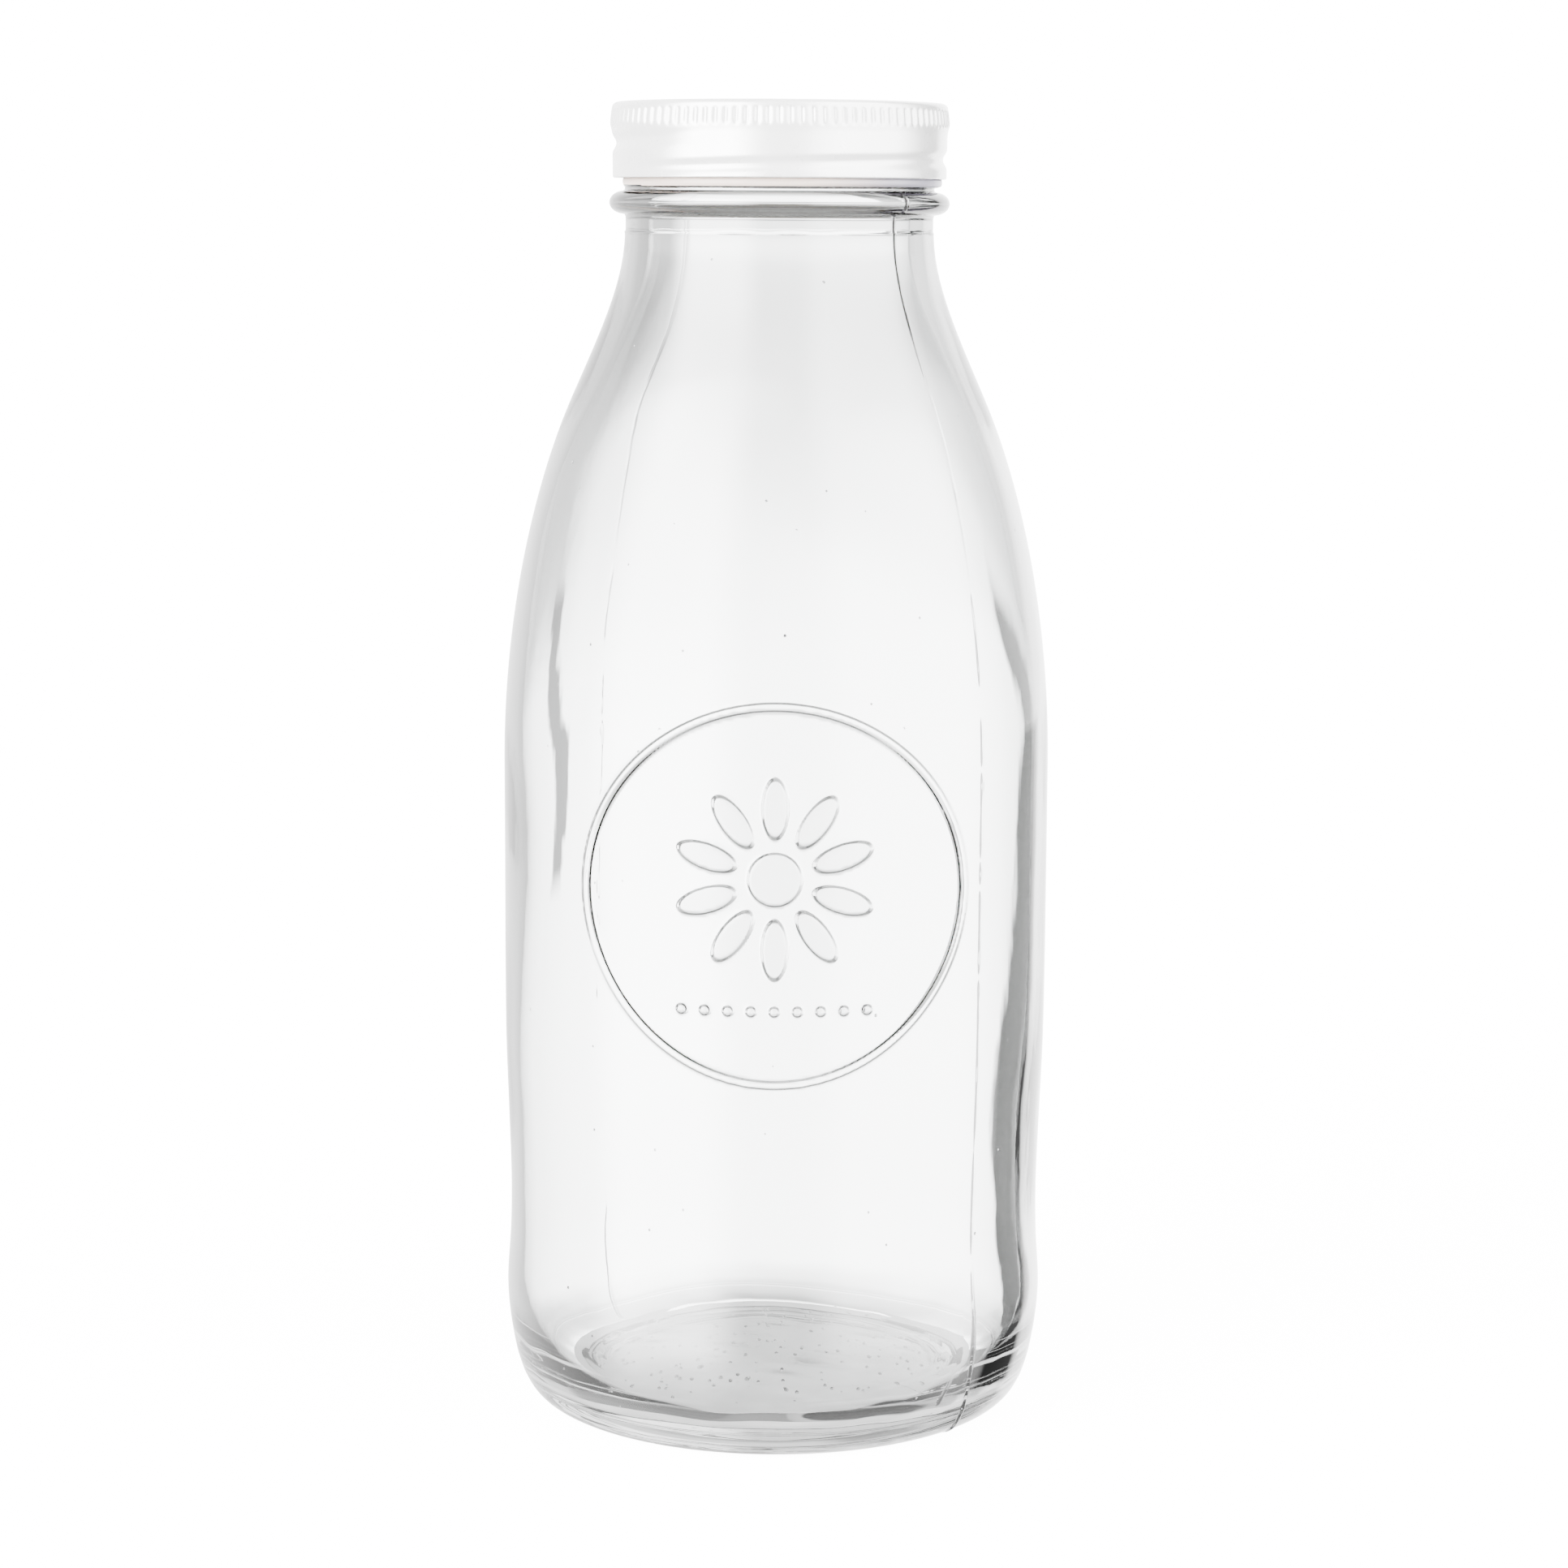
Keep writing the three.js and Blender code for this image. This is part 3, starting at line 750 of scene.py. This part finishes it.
# %% Cap mesh
cap_columns = np.arange(0, 360, 0.6)
outside_rows = thinned(cap_outside, cap_spacing)
inside_rows = thinned(inset(cap_outside, SHEET)[::-1], lambda p: 1.6 * cap_spacing(p))
inside_rows = inside_rows[(inside_rows[:, 0] > 1.0) & (inside_rows[:, 1] > 185.4)]
cap_blocks = [cap_points(rows, cap_columns) for rows in (outside_rows[1:], hem_run, inside_rows)]
cap_poles = np.array([[0, 0, outside_rows[0, 1]], [0, 0, outside_rows[0, 1] - SHEET]])
cap_xyz = np.vstack([cap_poles, *[b.reshape(-1, 3) for b in cap_blocks]])
ring_count = [len(b) for b in cap_blocks]
every_ring = 2 + np.arange(sum(ring_count) * len(cap_columns)).reshape(-1, len(cap_columns))
cap_faces = [fan(0, every_ring[0], True)]
cap_faces += [strip(a, b) for a, b in zip(every_ring[:-1], every_ring[1:])]
cap_faces.append(fan(1, every_ring[-1], False))


# %% [markdown]
# ## White enamel and gold lacquer
#
# The tinplate is coated flat before it is pressed: white enamel outside, dull gold lacquer inside. The enamel
# is thick enough to be slightly uneven and glossy, so it gets a fine orange peel and a little change of
# roughness, and it is thinner and a touch darker where the tool rubbed the ribs. The lacquer is a metal seen
# through a yellow film, with the faint rings of the rolling tool.

# %% Enamel
enamel, shader, place, (x, y, z) = new_material("white_enamel", (0.9, 0.9, 0.88, 1))
mottle = noise(place, 160.0, 4.0, 0.6)
on_ribs = hypotenuse(x, y).ramp(0.02478, 0.02505) * z.ramp(0.1916, 0.1922)
rubbed = on_ribs * noise(place, 900.0, 3.0).ramp(0.45, 0.75)
tint = blend(mottle * 0.5 + rubbed * 0.35, (0.82, 0.82, 0.815, 1), (0.75, 0.75, 0.745, 1))
orange_peel = noise(place, 700.0, 2.0, 0.5) * 0.6 + noise(place, 2600.0, 2.0, 0.5) * 0.4
set_shader(
    shader,
    Base_Color=tint,
    Metallic=0.14,
    Roughness=mottle.ramp(0.3, 0.7, 0.24, 0.34) + rubbed * 0.12,
    IOR=1.5,
    Coat_Weight=1.0,
    Coat_Roughness=0.1,
    Normal=bump(orange_peel, 0.12, 0.0001),
)

# %% Lacquer
lacquer, shader, place, (x, y, _) = new_material("gold_lacquer", (0.75, 0.62, 0.36, 1))
tool_rings = (hypotenuse(x, y) * 9000.0).maths("SINE") * 0.5 + 0.5
cloud = noise(place, 120.0, 4.0, 0.6)
set_shader(
    shader,
    Base_Color=blend(cloud, (0.34, 0.28, 0.19, 1), (0.26, 0.21, 0.14, 1)),
    Metallic=1.0,
    Roughness=cloud.ramp(0.3, 0.7, 0.22, 0.36),
    Normal=bump(tool_rings * 0.3 + cloud, 0.15, 0.0001),
)

cap = put_mesh("screw_cap_pressed", cap_xyz, cap_faces, enamel, "cap", "cap_shell")
cap.data.materials.append(lacquer)
face_count = np.array([len(f) for f in cap_faces])
first_inside = face_count[: 1 + ring_count[0] + ring_count[1] - 1].sum()
inner = (np.arange(len(cap.data.polygons)) >= first_inside).astype(np.int32)
cap.data.polygons.foreach_set("material_index", inner)
print("cap faces:", len(inner), "with", int(inner.sum()), "lacquered")

# %% [markdown]
# ## The liner
#
# The seal is a disc punched from soft grey foam sheet. It carries the print of the glass rim, a shallow ring
# pressed into its underside. It is a turned outline with slightly wavy faces, because a punched disc is never
# flat.


# %% Liner mesh
LINER_BOTTOM, LINER_TOP = 193.65, 194.35
LINER_FLAT_R, LINER_EDGE = 23.35, 0.2
DENT, FACE_WAVE = 0.12, 0.03


def liner_points(path, azimuth):
    """Outline turned about the axis. Both faces wave, and the glass rim dents the underside."""
    r, z = level_points(path, azimuth)
    dent = smooth(r, 19.4, 20.2) * (1 - smooth(r, 22.0, 22.8)) * (z < 194)
    z = z + DENT * dent + FACE_WAVE * waves(azimuth, r, 5, 11, 20) * smooth(r, 0.5, 6)
    return turned(r, z, azimuth)


liner_run = joined(
    [(0, LINER_BOTTOM), (LINER_FLAT_R, LINER_BOTTOM)],
    ellipse((LINER_FLAT_R, LINER_BOTTOM + LINER_EDGE), LINER_EDGE, LINER_EDGE, -90, 0, 5),
    ellipse((LINER_FLAT_R, LINER_TOP - LINER_EDGE), LINER_EDGE, LINER_EDGE, 0, 90, 5),
    [(0, LINER_TOP)],
)
liner_rows = thinned(liner_run, lambda p: np.where(p[:, 0] > 23.2, 0.1, np.where(p[:, 0] > 19, 0.3, 1.2)))
liner_columns = np.arange(0, 360, 2.5)
block = liner_points(liner_rows[1:-1], liner_columns)
liner_xyz = np.vstack([[[0, 0, liner_rows[0, 1]], [0, 0, liner_rows[-1, 1]]], block.reshape(-1, 3)])
liner_rings = 2 + np.arange(block.shape[0] * block.shape[1]).reshape(block.shape[:2])
liner_faces = [fan(0, liner_rings[0], False)]
liner_faces += [strip(b, a) for a, b in zip(liner_rings[:-1], liner_rings[1:])]
liner_faces.append(fan(1, liner_rings[-1], True))

# %% Foam
foam, shader, place, _ = new_material("grey_seal_foam", (0.34, 0.34, 0.335, 1))
grain = noise(place, 1400.0, 3.0, 0.6)
set_shader(
    shader,
    Base_Color=blend(noise(place, 110.0, 4.0, 0.6), (0.34, 0.34, 0.335, 1), (0.27, 0.27, 0.265, 1)),
    Roughness=grain.ramp(0.3, 0.7, 0.5, 0.72),
    Normal=bump(grain, 0.3, 0.0001),
)
put_mesh("sealing_disc", liner_xyz, liner_faces, foam, "liner", "cap_liner")

# %% [markdown]
# ## Floor, light and camera
#
# Clear glass is drawn by what stands behind it, so the light is a bright-field set: the camera sees plain
# white, rays that come out of the glass see a bright field with dark cards in it, whose bent images give the
# glass its grey edges, and reflections see a pale room with two soft windows. The surround is the world's own
# light, worked out from the direction and the kind of each ray, so no object gets in the way of other views.
# Only the camera sees the white floor, and a small dim glowing disc lies on it under the bottle as a painted
# shadow. The camera looks down by under nine degrees from the height of the bottle's neck.


# %% Surround: levels by elevation or by bearing, and cards as pairs of bearings, all in degrees
SEEN_WHITE = 17.0
FIELD = [
    (-90, 6), (-74, 5), (-66, 0.9), (-47, 0.9), (-36, 2.2), (-27, 5), (-20, 11), (-7, 12), (-4, 8.5),
    (-1, 5.6), (4, 4.6), (9, 2.4), (18, 1.6), (30, 0.4), (62, 0.4), (75, 5), (90, 5),
]
DARK_CARD, CARD_TOP, CARD_LEVEL = (12.5, 31.0), -4.0, 0.35
CARDLESS = (-90, -20)
THIN_CARD, THIN_HEIGHT, THIN_LEVEL = (-12.6, -10.0), (-11.0, -4.4), 1.1
NECK_CARD, NECK_LEVEL = (33.0, 60.0), 0.32
SIDE_CARD, SIDE_FOOT, SIDE_DIMS = (-28.0, -10.0), -6.0, 0.7
BOUNCED = [
    (-180, 2.5), (-75, 2.5), (-62, 0.9), (-38, 0.9), (-28, 1.5), (-12, 1.6), (-5, 1.6), (3, 1.6), (8, 3.2),
    (26, 4), (30, 3), (180, 3),
]
BOUNCED_CARD, BOUNCED_DIMS = (31.0, 64.0), 0.97
ROOM = [(-90, 3), (-20, 4), (0, 5), (50, 5), (90, 4)]
WHITE_STRIP, WHITE_ADDED = (0, 38), 3.0
GREY_STRIP, GREY_LEVEL = (42, 70), 0.3
LEFT_WINDOW = {"bearing": (-158, -104), "elevation": (-25, 44), "soft": 26, "level": 50}
RIGHT_WINDOW = {"bearing": (84, 156), "elevation": (-25, 58), "soft": 26, "level": 24}
LAMP_SHARE = 0.19


def graph(value, low, high, points, top):
    """Straight lines through (value, level) points, by a grey colour ramp scaled to the top level."""
    ramp = add_node(value.tree, "ShaderNodeValToRGB", None, {"in0": (value - low) / (high - low)})
    elements = ramp.color_ramp.elements
    while len(elements) < len(points):
        elements.new(0.5)
    for element, (at, level) in zip(elements, points):
        element.position = (at - low) / (high - low)
        element.color = (level / top, level / top, level / top, 1)
    return Socket(value.tree, ramp.outputs[0]) * top


def between(value, low, high, soft):
    """1 between low and high, with an easy slope of the given width centred on each end."""
    rise = value.ramp(low - soft / 2, low + soft / 2)
    fall = value.ramp(high - soft / 2, high + soft / 2)
    return rise * (1 - fall)


def surround():
    """World light by the direction a ray leaves in; bearings run from +Y towards +X. The camera sees plain
    white. A ray that comes through the glass sees the field, brightest a little below the horizon, with its
    cards. One that was also reflected on its way sees a dimmer field. A reflection sees the room, with a
    white strip, a grey strip and two soft windows, and diffuse light is a share of the room's."""
    world = bpy.data.worlds.new("soft_studio")
    bpy.context.scene.world = world
    world.use_nodes = True
    tree = world.node_tree
    tree.nodes.clear()
    direction = Socket(tree, tree.nodes.new("ShaderNodeTexCoord").outputs["Generated"])
    split = add_node(tree, "ShaderNodeSeparateXYZ", None, {"in0": direction})
    across, along, up = (Socket(tree, split.outputs[k]) for k in range(3))
    bearing = across.maths("ARCTAN2", along) * math.degrees(1)
    elevation = up.maths("ARCSINE") * math.degrees(1)
    quarter = (bearing + 360).maths("MODULO", 90)

    over_cards = elevation.ramp(CARD_TOP - 1, CARD_TOP + 1)
    card = between(quarter, *DARK_CARD, 2) * (1 - over_cards) * (1 - between(bearing, *CARDLESS, 2))
    thin = between(bearing, *THIN_CARD, 0.8) * between(elevation, *THIN_HEIGHT, 1.5)
    neck_card = between(bearing, *NECK_CARD, 4) * over_cards
    field = graph(elevation, -90, 90, FIELD, SEEN_WHITE)
    for mask, level in ((card, CARD_LEVEL), (thin, THIN_LEVEL), (neck_card, NECK_LEVEL)):
        field = field * (1 - mask) + mask * level
    beside = between(bearing, *SIDE_CARD, 8) * elevation.ramp(SIDE_FOOT - 2, SIDE_FOOT + 2)
    field = field * (1 - beside * SIDE_DIMS)

    room = graph(elevation, -90, 90, ROOM, SEEN_WHITE)
    room = room + WHITE_ADDED * between(bearing, *WHITE_STRIP, 6)
    grey_strip = between(bearing, *GREY_STRIP, 6)
    room = room * (1 - grey_strip) + grey_strip * GREY_LEVEL
    for window in (LEFT_WINDOW, RIGHT_WINDOW):
        shape = between(bearing, *window["bearing"], window["soft"])
        shape = shape * between(elevation, *window["elevation"], window["soft"])
        room = room + shape * window["level"]

    path = add_node(tree, "ShaderNodeLightPath")
    reflected = Socket(tree, path.outputs["Glossy Depth"]).maths("MINIMUM", 1.0)
    bounced = graph(bearing, -180, 180, BOUNCED, SEEN_WHITE) * elevation.ramp(-34, -18, 0.3, 1.0)
    bounced = bounced * (1 - BOUNCED_DIMS * between(bearing, *BOUNCED_CARD, 4) * (1 - over_cards))
    field = field * (1 - reflected) + reflected * bounced
    light = room
    for ray, seen in (
        ("Is Diffuse Ray", room * LAMP_SHARE),
        ("Is Transmission Ray", field),
        ("Is Camera Ray", SEEN_WHITE),
    ):
        is_ray = Socket(tree, path.outputs[ray])
        light = light * (1 - is_ray) + is_ray * seen
    background = add_node(tree, "ShaderNodeBackground", None, {"Color": (1, 1, 1, 1), "Strength": light})
    output = tree.nodes.new("ShaderNodeOutputWorld")
    tree.links.new(background.outputs[0], output.inputs["Surface"])


surround()

# %% Floor
FLOOR_HALF, FLOOR_GLOW = 3.0, 14.0
floor_mesh = bpy.data.meshes.new("studio_floor")
corners = [(FLOOR_HALF * i, FLOOR_HALF * j, 0) for i, j in ((-1, -1), (1, -1), (1, 1), (-1, 1))]
floor_mesh.from_pydata(corners, [], [(0, 1, 2, 3)])
floor = bpy.data.objects.new("studio_floor", floor_mesh)
bpy.context.scene.collection.objects.link(floor)
floor.visible_transmission = floor.visible_glossy = floor.visible_diffuse = False
paper, shader, place, _ = new_material("white_paper", (0.95, 0.95, 0.95, 1))
set_shader(
    shader,
    Base_Color=(0.6, 0.6, 0.6, 1),
    Roughness=0.9,
    Specular_IOR_Level=0.0,
    Emission_Color=(1, 1, 1, 1),
    Emission_Strength=FLOOR_GLOW,
)
floor_mesh.materials.append(paper)

# %% Painted shadow: a dim glowing disc on the paper under the bottle
SHADE_R, SHADE_LIFT, SHADE_GLOW = 0.0335, 5e-5, 2.4
turn = np.radians(np.arange(0, 360, 5.0))
shade_points = np.stack([SHADE_R * np.cos(turn), SHADE_R * np.sin(turn), 0 * turn + SHADE_LIFT], 1)
shade_mesh = bpy.data.meshes.new("studio_shade")
shade_mesh.from_pydata(shade_points.tolist(), [], [list(range(len(shade_points)))])
shade = bpy.data.objects.new("studio_shade", shade_mesh)
bpy.context.scene.collection.objects.link(shade)
dim, shader, place, _ = new_material("shaded_paper", (0.6, 0.6, 0.6, 1))
# Painted shadow: the disc glows dimmer than the floor, in soft patches.
patches = noise(place, 55.0, 3.0, 0.6).ramp(0.3, 0.7)
set_shader(
    shader,
    Base_Color=(0, 0, 0, 1),
    Roughness=1.0,
    Specular_IOR_Level=0.0,
    Emission_Color=blend(patches, (0.7, 0.7, 0.7, 1), (1, 1, 1, 1)),
    Emission_Strength=SHADE_GLOW,
)
shade_mesh.materials.append(dim)

# %% Camera
EYE = (0.0012, -0.5676, 0.1802)
PITCH_DOWN, ROLL, LENS = 8.64, 0.36, 87.2
camera_data = bpy.data.cameras.new("camera")
camera_data.lens, camera_data.sensor_width = LENS, 36.0
camera = bpy.data.objects.new("camera", camera_data)
tilt = Matrix.Rotation(math.radians(90 - PITCH_DOWN), 4, "X") @ Matrix.Rotation(math.radians(ROLL), 4, "Z")
camera.matrix_world = Matrix.Translation(EYE) @ tilt
bpy.context.scene.collection.objects.link(camera)
bpy.context.scene.camera = camera
